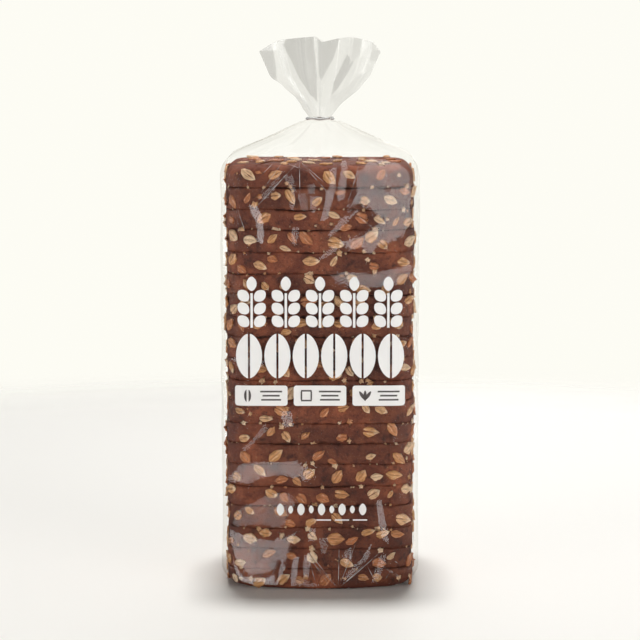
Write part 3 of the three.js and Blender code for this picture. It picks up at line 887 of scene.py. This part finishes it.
def film_skin():
    """The bag's rows of points, how far the way it faces turns to the lights there, and how it gleams."""
    whole = girth(FILM_WIDE, FILM_DEEP, FILM_CORNER)
    fine = np.linspace(-FRONT_REACH, FRONT_REACH, FILM_COLUMNS_FRONT + 1)
    rest = np.linspace(FRONT_REACH, whole - FRONT_REACH, FILM_COLUMNS_REST + 1)[1:-1]
    along = np.concatenate([fine, rest])
    along = np.where(along > whole / 2, along - whole, along)
    wide, height = film_rows()
    outline, way_out = round_square(along, FILM_WIDE, FILM_DEEP, FILM_CORNER)
    base = smooth_skin(outline, way_out, wide, height)
    order = np.argsort(along)
    lift = np.empty((len(height), len(along)))
    unrolled = np.where(height > SHOULDER_START, (height + SHOULDER_START) / 2, height)
    lift[:, order] = facet_lift(along[order], unrolled, whole, Draws(5150))
    columns = order[np.abs(along[order]) < PANES_REACH]
    x, z = np.meshgrid(along[columns], height)
    lift[:, columns], facing, share, gleam = lay_panes(x, z, lift[:, columns])
    gather = drawn_together(wide, height, 46, 30)
    lift += (gather * np.minimum(1, wide / 14))[:, None] * neck_folds(outline)
    lift *= np.clip(1.6 - gather * 0.9, 0, 1)[:, None] * np.clip((height - 0.1) / 5, 0.02, 1)[:, None]
    lift = np.where(height[:, None] > CLIP_HEIGHT - 2, np.clip(lift, -0.5, 0.1), lift)
    points = base + ways_out(base) * lift[:, :, None]
    turned, gleams, laid = np.zeros(points.shape), np.zeros(lift.shape), np.zeros(lift.shape)
    turned[:, columns] = share[:, :, None] * (facing - ways_out(points)[:, columns])
    gleams[:, columns] = gleam
    laid[:, columns] = share
    # The bends to the sides are crumpled, which breaks the light along them into short glints
    bends = np.clip((np.abs(outline[:, 0]) - BEND_START) / BEND_OVER, 0, 1) * (outline[:, 1] < 0)
    gleams -= np.clip(1 + gleams, 0, 1) * (bends > 0)[None] * (np.abs(gleams) < 1e-6) * BEND_DULL
    for i, up in enumerate(height):
        for j in np.nonzero(bends)[0]:
            crumple = noise.noise_vector(Vector((along[j] / 6, up / 5, 8.1)))
            turned[i, j] += (1 - laid[i, j]) * bends[j] * BEND_TURN * np.array(crumple)
    return points, turned, gleams


def sheet_mesh(name, points, closed=True):
    """A mesh through rows of points, each row joined to the next."""
    rows, columns = points.shape[:2]
    count = columns if closed else columns - 1
    i, j = np.meshgrid(np.arange(rows - 1), np.arange(count), indexing="ij")
    after = (j + 1) % columns
    low, high = i * columns, (i + 1) * columns
    faces = np.stack([low + j, low + after, high + after, high + j], axis=-1)
    mesh = bpy.data.meshes.new(name)
    mesh.from_pydata(points.reshape(-1, 3).tolist(), [], faces.reshape(-1, 4).tolist())
    mesh.shade_smooth()
    return new_object(name, mesh)


def see_through(look, colour):
    return look.node("BsdfTransparent", {}, {"Color": colour})


def layered(look, share, under, over):
    return look.node("MixShader", {}, {0: share, 1: under, 2: over})


def film_material():
    """Clear film: it lets light through, mirrors a little of the room, more at a slant and on its flat
    panes, and is milky by a small share."""
    look = Look("clear_film")
    place = look.place()
    slant = look.node("LayerWeight", {}, {"Blend": 0.5}, "Facing")
    gleam = field(look, "gleam")
    faces = look.shift(look.node("NewGeometry", outlet="Normal"), field(look, "turned", "Vector"))
    faces = look.node("VectorMath", {"operation": "NORMALIZE"}, {0: faces})
    streaks = look.cloud(place, 8, 3)
    mirror = 0.024 + 0.05 * slant**4 + 0.026 * gleam * (0.6 + 0.8 * streaks)
    across, along_edge = see_through(look, (0.995, 0.995, 0.99, 1)), see_through(look, FILM_TINT)
    clear = layered(look, slant**6, across, along_edge)
    crinkled = {"Height": look.cloud(place, 6, 2), "Distance": 0.11 * MM, "Strength": 0.3, "Normal": faces}
    gloss = look.node("BsdfAnisotropic", {}, {"Roughness": 0.07, "Normal": look.node("Bump", {}, crinkled)})
    milk = look.shine(Base_Color=FILM_TINT, Roughness=0.4)
    scuffs = look.between(look.cloud(place, 9, 4), 0.45, 0.8)
    return look.finish(layered(look, 0.004 * (0.4 + scuffs), layered(look, mirror, clear, gloss), milk))


film_points, film_turned, film_gleams = film_skin()
bag_film = sheet_mesh("bag_film", film_points)
film_fields = bag_film.data.attributes
film_fields.new("turned", "FLOAT_VECTOR", "POINT").data.foreach_set("vector", film_turned.ravel())
film_fields.new("gleam", "FLOAT", "POINT").data.foreach_set("value", film_gleams.ravel())
into_frame(bag_film, film_material())

# The gathered mouth: the rest of the bag's sheet over the clip, spread again in a fan of flat folds.
# The film lies there in two layers, front and back, with a wavy cut edge on top.
FAN_HEIGHT = 43.5
# Height over the clip, half width and half depth
FAN_PROFILE = [
    (0, 5.6, 4.2), (7.4, 11.4, 7), (14.7, 20.6, 10), (22.6, 27.2, 12.5), (35.8, 33, 15), (43.5, 33.6, 15.5),
]
# Each fold of a layer: across and back, as shares of the half width and depth, and how low its cut edge is
FAN_FOLDS = [
    (-1, 0.2, 8), (-0.7, -0.5, 2.2), (-0.58, 0.55, 1.6), (-0.32, -0.5, 0.7), (-0.24, 0.15, 0.4),
    (-0.08, -0.4, 0), (0.03, 0.75, 3), (0.3, -0.55, 0.9), (0.53, 0.75, 0.3), (0.69, 0.05, 1.4),
    (0.84, 0.65, 2.6), (1, 0.2, 8.4),
]
FAN_PINCH = ((5, 11, 18, 21), (0, 0.17, 0.1, 0))  # height over the clip, and how far its left is drawn in
PATCH_EDGE = 0.8
# painted shade over the whole front layer, under the patches below
FAN_BASE_SHADE = 0.12
# Painted shade that greys the fan's front layer over its folds, and where it is left clear: how grey, and the
# corners across and up
FAN_SHADE_PATCHES = [
    (0.85, [(-37, 285), (-32.2, 289), (-26.8, 294), (-25, 284.6), (-23.4, 278), (-23.7, 268), (-28, 270),
        (-33, 276)]),
    (0.95, [(-20, 288.5), (-16.6, 294), (-7.8, 296), (-3.7, 294), (-2.7, 283.3), (-1.6, 271.4),
        (-1.6, 258.2), (-5, 261.5), (-11.2, 270.7), (-15.9, 280.6)]),
    (0.8, [(-1.2, 294), (10.6, 294), (9.3, 284.6), (5.2, 278), (0.6, 269.4), (-0.6, 272.7)]),
    (0.9, [(14.7, 283.3), (18.1, 279.3), (14.7, 272.7), (9.3, 264.8), (6.5, 261.9), (7.2, 268.1),
        (11.3, 276.7)]),
    (0.4, [(18.8, 294), (22.9, 294), (21.5, 283.3), (16.1, 278), (16.7, 283.9)]),
    (0.45, [(27.6, 290), (31, 294), (37, 285.2), (32.4, 279.3), (26.9, 280)]),
    (0.4, [(-16, 262), (-7.8, 260.2), (-4.4, 250.3), (-8, 248), (-14, 254.3)]),
    (0.3, [(6.5, 260.9), (12.7, 264.2), (20.1, 271.4), (26, 274), (20, 264.8), (13, 257), (8.4, 252)]),
    (0, [(-26, 294), (-21, 294), (-20.5, 280), (-15.5, 272), (-10, 265), (-3, 252), (-8, 259),
        (-17, 267), (-22.8, 269)]),
    (0, [(11.2, 294), (17.5, 294), (14, 284), (9, 276), (6, 268), (5, 250), (1, 250), (1.2, 266),
        (6.5, 279)]),
    (0, [(24, 294), (27, 294), (25, 284), (21, 281), (22.5, 286)]),
]
FAN_COLUMNS = 190
FAN_ROWS = 60
LAYER_GAP = 1.6


def fan_layer(share, layer):
    """Across, back and drop of a layer at each share of its way from left to right, and if it is in front."""
    folds = np.array(FAN_FOLDS, dtype=float)
    if layer:
        folds[1:-1, 0] += 0.055 * np.sin(7 * folds[1:-1, 0] + 1)
    step = np.hypot(np.diff(folds[:, 0]) * 33, np.diff(folds[:, 1]) * 15)
    at = np.concatenate([[0], np.cumsum(step)]) / step.sum()
    return [np.interp(share, at, folds[:, i]) for i in range(3)] + [np.full(len(share), 1.0 - layer)]


def fan_skin():
    """The fan's rows of points, and how much painted shade greys the film at each."""
    share = np.linspace(0, 1, FAN_COLUMNS)
    profile = np.array(FAN_PROFILE, dtype=float)
    front, rear = fan_layer(share, 0), fan_layer(share[::-1], 1)
    across, back, drop, in_front = (np.concatenate([f, r]) for f, r in zip(front, rear))
    bulge = np.concatenate([-np.sin(math.pi * share), np.sin(math.pi * share)]) * LAYER_GAP
    rows = []
    for step in np.linspace(0, 1, FAN_ROWS):
        rise = (FAN_HEIGHT - drop) * step
        wide = np.interp(rise, profile[:, 0], profile[:, 1])
        deep = np.interp(rise, profile[:, 0], profile[:, 2])
        curl = 0.5 * np.sin(9 * across + 5 * step) * step
        y = back * deep * (0.25 + 0.75 * step**0.6) + bulge * (0.4 + step) + curl
        pinched = np.interp(rise, *FAN_PINCH) * np.clip(-across, 0, 1) ** 2
        rows.append(np.stack([across * wide * (1 - pinched), y, CLIP_HEIGHT + 0.4 + rise], axis=-1))
    rows = np.array(rows)
    grey = np.full(rows.shape[:2], FAN_BASE_SHADE)
    # Painted shade: the front layer is greyed in patches over its folds, not by any light
    for strength, corners in FAN_SHADE_PATCHES:
        inside = np.clip(0.5 + pane_share(rows[:, :, 0], rows[:, :, 2], corners) / PATCH_EDGE, 0, 1)
        grey += inside * (strength - grey)
    return rows, grey * in_front


def gathered_film():
    """The fan's film: as clear as the rest, but greyed by painted shade in patches over the folds of its
    front layer.
    """
    look = Look("gathered_film")
    place = look.place()
    facing = look.node("LayerWeight", {}, {"Blend": 0.5}, "Facing")
    one_layer = see_through(look, (0.985, 0.985, 0.98, 1))
    # The darker see-through tint is painted shade, mixed in by the shade stored on the mesh
    painted_shade_tint = see_through(look, (0.7, 0.695, 0.69, 1))
    clear = layered(look, field(look, "grey"), one_layer, painted_shade_tint)
    crinkle = look.relief(look.cloud(place, 7, 2), 0.2, 0.4)
    gloss = look.node("BsdfAnisotropic", {}, {"Roughness": 0.1, "Normal": crinkle})
    milk = look.shine(Base_Color=FILM_TINT, Roughness=0.4)
    body = layered(look, 0.04 + 0.05 * facing**4, clear, gloss)
    return look.finish(layered(look, 0.045 + 0.05 * facing, body, milk))


fan_points, fan_painted_shade = fan_skin()
fan_film = sheet_mesh("bag_mouth_film", fan_points)
fan_film.data.attributes.new("grey", "FLOAT", "POINT").data.foreach_set("value", fan_painted_shade.ravel())
into_frame(fan_film, gathered_film())

# The print: white ink rolled on the front of the film before the bag was made. A row of ears stands over a
# row of split grains and three small panels with plain marks, and a thin ornament lies further down.
INK_OFF_FILM = 0.14
INK_CELL = 1.3  # size of a face of the print
INK_WHITE = (0.93, 0.91, 0.885, 1)
INK_WORN = (0.5, 0.45, 0.42, 1)
INK_DARK = (0.075, 0.06, 0.055, 1)
PRINT_HALF = 44.8  # half the width of the print
EARS = 5
EAR_ROW = (141.4, 168.4)  # lowest and highest point
LEAF_PAIRS = 3
LEAF = (5.9, 7.2)
LEAF_LEAN = 0.8
LEAF_OUT = 4.35  # from the stem to a leaf's middle
TOP_LEAF = (5.4, 7.6)
STEM_WIDE = 1.3
GRAINS = 6
GRAIN_ROW = (114.6, 138.2)
GRAIN_GAP = 2.2
SLIT_HALF = 0.55
PANEL_ROW = (99.9, 110.7)
PANEL_WIDE = 27.7
PANEL_ROUND = 1.4
MARK_LEFT = 7.2  # of a panel's middle
LINES = (11.5, 9.0, 10.4)  # their lengths
LINES_RIGHT = 5.2
LINE_STEP = 2.2
LINE_WIDE = 0.85
SQUARE_MARK = [(0, 2.6, 5.6, 0.8), (0, -2.6, 5.6, 0.8), (-2.6, 0, 0.8, 4.4), (2.6, 0, 0.8, 4.4)]
BEADS = 9
BEAD_START = (-21, 44.3)
BEAD_STEP = 5.45
BEAD_HIGH = (6.4, 4.2)
BEAD_RATIO = 0.62
DASHES = 3
DASH_START = (2, 38.6)
DASH_STEP = 9.6
DASH = (7.6, 0.7)


def flat_shape(outline, x, z):
    """A filled outline in the plane of the front, made from a circle primitive with as many points."""
    shape = fresh(bpy.ops.mesh.primitive_circle_add, vertices=len(outline), fill_type="NGON")
    put_points(shape.data, np.array([(x + a, 0, z + b) for a, b in outline], dtype=float))
    return shape


def grain_outline(wide, high, lean=0.0, steps=20):
    """A grain with pointed ends that leans by an angle."""
    points = []
    for i in range(steps):
        angle = 2 * math.pi * i / steps
        a = 0.5 * wide * math.sin(angle) * (1 - 0.22 * math.cos(angle) ** 2)
        b = 0.5 * high * math.cos(angle)
        points.append((a * math.cos(lean) + b * math.sin(lean), b * math.cos(lean) - a * math.sin(lean)))
    return points


def half_grain(wide, high, side, steps=14):
    """One half of a pointed grain that a slit splits, on the side that side says."""
    points = []
    for i in range(steps + 1):
        angle = math.pi * i / steps
        bulge = 0.5 * wide * math.sin(angle) ** 1.25
        points.append((side * (SLIT_HALF + bulge), 0.5 * high * math.cos(angle)))
    return points if side > 0 else points[::-1]


def bar_outline(wide, high, round_by=0.0, steps=5):
    points = []
    for x, z, start in ((1, 1, 0), (1, -1, 1), (-1, -1, 2), (-1, 1, 3)):
        for i in range(steps if round_by else 1):
            angle = math.pi / 2 * (start + (i / (steps - 1) if round_by else 0))
            a = x * (wide / 2 - round_by) + round_by * math.sin(angle)
            points.append((a, z * (high / 2 - round_by) + round_by * math.cos(angle)))
    return points


def press_on_film(name, shapes, off_film, material):
    """Joins flat shapes, cuts them into small faces and lays them on the film."""
    bpy.ops.object.select_all(action="DESELECT")
    for shape in shapes:
        shape.select_set(True)
    bpy.context.view_layer.objects.active = shapes[0]
    bpy.ops.object.join()
    obj = bpy.context.object
    obj.name = obj.data.name = name
    bpy.ops.object.mode_set(mode="EDIT")
    low, high = obj.bound_box[0], obj.bound_box[6]
    for axis, normal in ((0, Vector((1, 0, 0))), (2, Vector((0, 0, 1)))):
        for at in np.arange(low[axis] + INK_CELL / 2, high[axis], INK_CELL):
            bpy.ops.mesh.select_all(action="SELECT")
            bpy.ops.mesh.bisect(plane_co=normal * at, plane_no=normal)
    bpy.ops.object.mode_set(mode="OBJECT")
    put_points(obj.data, (points_of(obj.data) + (0, -80, 0)) * MM)
    wrap = obj.modifiers.new("on_film", "SHRINKWRAP")
    wrap.target = bag_film
    wrap.wrap_method = "PROJECT"
    wrap.use_project_y = True
    wrap.use_positive_direction = True
    wrap.use_negative_direction = False
    wrap.offset = off_film * MM
    bpy.ops.object.modifier_apply(modifier=wrap.name)
    dress(obj, material)


def ink_material(name, colour):
    look = Look(name)
    place = look.place()
    fine = look.cloud(place, 0.7, 3)
    wide = look.cloud(place, 12, 2)
    worn = look.between(fine, 0.62, 0.85) * 0.12 + look.between(wide, 0.4, 0.8) * 0.05
    colour = look.blend(worn, colour, INK_WORN)
    return look.finish(look.shine(Base_Color=colour, Roughness=0.42, Normal=look.relief(fine, 0.05, 0.3)))


def front_print():
    shapes = []
    low, high = EAR_ROW
    pitch = (high - low) / (LEAF_PAIRS + 1)
    for i in range(EARS):
        x = PRINT_HALF * ((2 * i + 1) / EARS - 1)
        for k in range(LEAF_PAIRS):
            for side in (-1, 1):
                leaf = grain_outline(*LEAF, side * LEAF_LEAN)
                shapes.append(flat_shape(leaf, x + side * LEAF_OUT, low + pitch * (k + 0.5)))
        shapes.append(flat_shape(grain_outline(*TOP_LEAF), x, high - TOP_LEAF[1] / 2))
        shapes.append(flat_shape(bar_outline(STEM_WIDE, 2.7 * pitch), x, low + 1.35 * pitch))
    low, high = GRAIN_ROW
    grain_wide = 2 * PRINT_HALF / GRAINS - GRAIN_GAP
    for i in range(GRAINS):
        x = PRINT_HALF * ((2 * i + 1) / GRAINS - 1)
        for side in (-1, 1):
            shapes.append(flat_shape(half_grain(grain_wide, high - low, side), x, (low + high) / 2))
    low, high = PANEL_ROW
    for i in (-1, 0, 1):
        panel = bar_outline(PANEL_WIDE, high - low, PANEL_ROUND)
        shapes.append(flat_shape(panel, i * (PRINT_HALF - PANEL_WIDE / 2), (low + high) / 2))
    for i in range(BEADS):
        size = BEAD_HIGH[i % 2]
        bead = grain_outline(size * BEAD_RATIO, size)
        shapes.append(flat_shape(bead, BEAD_START[0] + BEAD_STEP * i, BEAD_START[1]))
    for i in range(DASHES):
        shapes.append(flat_shape(bar_outline(*DASH), DASH_START[0] + DASH_STEP * i, DASH_START[1]))
    return shapes


def panel_marks():
    """Three lines on each panel, and on its left a split grain, a square or three leaves."""
    shapes = []
    z = sum(PANEL_ROW) / 2
    panel_x = [i * (PRINT_HALF - PANEL_WIDE / 2) for i in (-1, 0, 1)]
    for x in panel_x:
        for k, wide in enumerate(LINES):
            line = bar_outline(wide, LINE_WIDE)
            shapes.append(flat_shape(line, x + LINES_RIGHT, z + LINE_STEP * (1 - k)))
    grain_x, square_x, leaves_x = (x - MARK_LEFT for x in panel_x)
    for side in (-1, 1):
        shapes.append(flat_shape(half_grain(2.6, 6.4, side), grain_x, z))
        shapes.append(flat_shape(grain_outline(1.7, 5.6, side * 0.6), leaves_x + 1.5 * side, z))
    shapes.append(flat_shape(grain_outline(1.7, 5.6), leaves_x, z))
    for right, up, wide, high in SQUARE_MARK:
        shapes.append(flat_shape(bar_outline(wide, high), square_x + right, z + up))
    return shapes


white_ink, dark_ink = ink_material("white_ink", INK_WHITE), ink_material("dark_ink", INK_DARK)
press_on_film("print_white", front_print(), INK_OFF_FILM, white_ink)
press_on_film("print_marks", panel_marks(), 2 * INK_OFF_FILM, dark_ink)

# The film's creases: painted highlights, whitish strips laid on the clear sheet where light glints along its
# fine folds. They run from where the bag is drawn together at the top and the foot of the front, where short
# ones cross.
# colour of the painted highlight along the creases
CREASE_GLINT_WHITE = (0.9, 0.86, 0.84, 1)
CRUMPLES = 18
# From and to, each across and up, and the width
RAYS = [
    (-10.7, 229, -34, 204, 0.3), (-10.7, 229, -10.5, 210, 0.3), (-10.7, 229, 8, 208, 0.3),
    (-11, 229, 3, 217, 0.25), (-19, 229, -31, 212, 0.25), (-24, 228, -33, 219, 0.2),
    (21, 229, 14, 205, 0.25), (27, 229, 20, 212, 0.25), (36, 226, 33, 214, 0.2),
    (-19, 228, -2, 222, 0.2), (9.7, 1, -6.5, 22, 0.35), (9.7, 1, -2, 14, 0.3), (9.7, 1, 10.2, 25, 0.35),
    (9.7, 1, 24, 15, 0.3), (9.7, 1, 33, 22, 0.35), (9.7, 1, 19, 26, 0.25), (-6.5, 20, -2, 3, 0.3),
    (-6.5, 20, 5, 3, 0.25), (-6.5, 20, -9, 5, 0.25), (25, 14, 31, 2, 0.25), (33, 14, 44, 5, 0.25),
    (-30, 16, -37, 3, 0.3), (-24, 12, -29, 2, 0.3), (-40, 10, -44, 3, 0.25), (-43, 203, -39, 192, 0.25),
    (20, 200, 30, 192, 0.3),
]


def crease_strip(x1, z1, x2, z2, wide):
    """A long thin strip that is widest in the middle."""
    start, way = Vector((x1, z1)), Vector((x2 - x1, z2 - z1))
    aside = Vector((-way.y, way.x)).normalized() * wide * 0.44
    corners = [start, start + way * 0.35 + aside, start + way * 0.7 + aside * 0.8, start + way]
    corners += [start + way * 0.7 - aside * 0.8, start + way * 0.35 - aside]
    return flat_shape(corners, 0, 0)


def crease_glint_material():
    look = Look("painted_crease_glints")
    broken = look.between(look.cloud(look.place(), 4, 2), 0.38, 0.66)
    # Painted highlight: a whitish sheet, partly see-through and broken up, for the glint of light along each
    # crease
    white = look.shine(Base_Color=CREASE_GLINT_WHITE, Roughness=0.3)
    return look.finish(layered(look, 0.22 + 0.5 * broken, see_through(look, (1, 1, 1, 1)), white))


crease_draws = Draws(311)
crumples = []
for k in range(CRUMPLES):
    x = (-1 if k % 2 else 1) * (47 - 20 * crease_draws.next() ** 1.5)
    z = 2 + 13 * crease_draws.next() ** 1.4
    reach, turn = crease_draws.near(3.5, 2), crease_draws.near(0, 1.2)
    crumples.append((x, z, x + reach * math.sin(turn), z + reach * math.cos(turn), 0.3))
creases = [crease_strip(*crease) for crease in RAYS + crumples]
press_on_film("film_crease_glints", creases, INK_OFF_FILM / 2, crease_glint_material())

# The clip: soft steel wire that keeps the bag shut, bent once round its neck by a machine, with its two
# ends side by side at the front. The CAD's own node has the shape.
WIRE_DULL = (0.62, 0.62, 0.6, 1)
WIRE_BRIGHT = (0.86, 0.86, 0.83, 1)


def wire_material():
    look = Look("dull_steel_wire")
    place = look.place()
    fine = look.cloud(place, 0.5, 3)
    colour = look.blend(look.between(fine, 0.4, 0.7), WIRE_DULL, WIRE_BRIGHT)
    bump = look.relief(fine, 0.05, 0.6)
    return look.finish(look.shine(Base_Color=colour, Metallic=0.75, Roughness=0.42 + 0.2 * fine, Normal=bump))


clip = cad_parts["clip"]
clip.data.materials.clear()
clip.data.materials.append(wire_material())

# The room: a pale table that fades into a white backdrop. A soft light at each side and two above light the
# loaf, and the rest are white cards that only gloss sees, for the film and the wire to mirror.
FLOOR_SIZE = 3000
FLOOR_FADE = (560, 760)  # where the table starts and ends turning into the backdrop, from the loaf
FLOOR_COLOUR = (0.92, 0.903, 0.855, 1)
BACKDROP = (0.985, 0.975, 0.905, 1)
ROOM_GREY = (0.9, 0.9, 0.92, 1)
ROOM_STRENGTH = 0.075
ROOM_IN_GLOSS = 0.08  # how bright the room behind the camera shows in the film
CAMERA_PITCH = 7.2  # degrees down
FOCAL_PIXELS = 2305
FRAME_PIXELS = 640


def floor_material():
    look = Look("table_top")
    place = look.place()
    x = look.node("SeparateXYZ", {}, {0: place}, 0)
    y = look.node("SeparateXYZ", {}, {0: place}, 1)
    away = (x * x + y * y) ** 0.5
    fade = look.between(away, FLOOR_FADE[0] * MM, FLOOR_FADE[1] * MM)
    table = look.shine(Base_Color=FLOOR_COLOUR, Roughness=0.6, Specular_IOR_Level=0.1)
    return look.finish(layered(look, fade, table, see_through(look, (1, 1, 1, 1))))


floor = fresh(bpy.ops.mesh.primitive_plane_add, size=FLOOR_SIZE * MM)
floor.name = "table"
floor.data.materials.append(floor_material())
floor.visible_glossy = False


def room_light():
    """The backdrop as the camera sees it, and a dimmer room for all other light."""
    look = Look("room", "worlds")
    in_gloss = look.node("LightPath", outlet="Is Glossy Ray")
    strengths = {"Value": in_gloss, "To Min": ROOM_STRENGTH, "To Max": ROOM_IN_GLOSS}
    strength = look.node("MapRange", {}, strengths)
    dim = look.node("Background", {}, {"Color": ROOM_GREY, "Strength": strength})
    backdrop = look.node("Background", {}, {"Color": BACKDROP})
    in_view = look.node("LightPath", outlet="Is Camera Ray")
    return look.finish(layered(look, in_view, dim, backdrop), "OutputWorld")


def soft_light(name, place, size, radiance, seen_by="all", target=(0, 0, 140)):
    """A flat panel of light that faces the loaf. Radiance is its brightness, where 1 is white. It is seen
    by all that it lights, or by gloss or matt surfaces alone."""
    data = bpy.data.lights.new(name, "AREA")
    data.shape = "RECTANGLE"
    data.size, data.size_y = size[0] * MM, size[1] * MM
    data.energy = radiance * math.pi * data.size * data.size_y
    lamp = new_object(name, data)
    lamp.location = Vector(place) * MM
    lamp.visible_diffuse = seen_by != "gloss"
    lamp.visible_glossy = seen_by != "matt"
    lamp.rotation_euler = ((Vector(target) - Vector(place)) * MM).to_track_quat("-Z", "Y").to_euler()


bpy.context.scene.world = room_light()
soft_light("key_right", (1700, -1700, 270), (1360, 1360), 5.0)
soft_light("fill_left", (-1900, -1550, 220), (1400, 1400), 3.7)
soft_light("top", (0, 320, 2600), (420, 380), 104.0, "matt")
soft_light("back", (0, 1500, 1700), (1600, 600), 2.2, "matt")
soft_light("top_sheen", (0, 420, 1500), (1500, 1700), 2.7, "gloss")
soft_light("card_right", CARD_RIGHT, (180, 760), 6.2, "gloss")
soft_light("card_left", CARD_LEFT, (180, 760), 5.8, "gloss")
soft_light("side_right", (1500, 300, 300), (900, 900), 4.0, "gloss")
soft_light("side_left", (-1500, 100, 300), (900, 900), 3.5, "gloss")
soft_light("behind", (300, 1700, 200), (600, 900), 4.0, "gloss")

camera_data = bpy.data.cameras.new("photo_view")
camera_data.lens = camera_data.sensor_width * FOCAL_PIXELS / FRAME_PIXELS
camera_data.clip_end = 20
camera = new_object("photo_view", camera_data)
camera.location = Vector(CAMERA_PLACE) * MM
camera.rotation_euler = (math.radians(90 - CAMERA_PITCH), 0, 0)
bpy.context.scene.camera = camera
bpy.context.scene.cycles.transparent_max_bounces = 32
bpy.context.scene.view_settings.view_transform = "Standard"
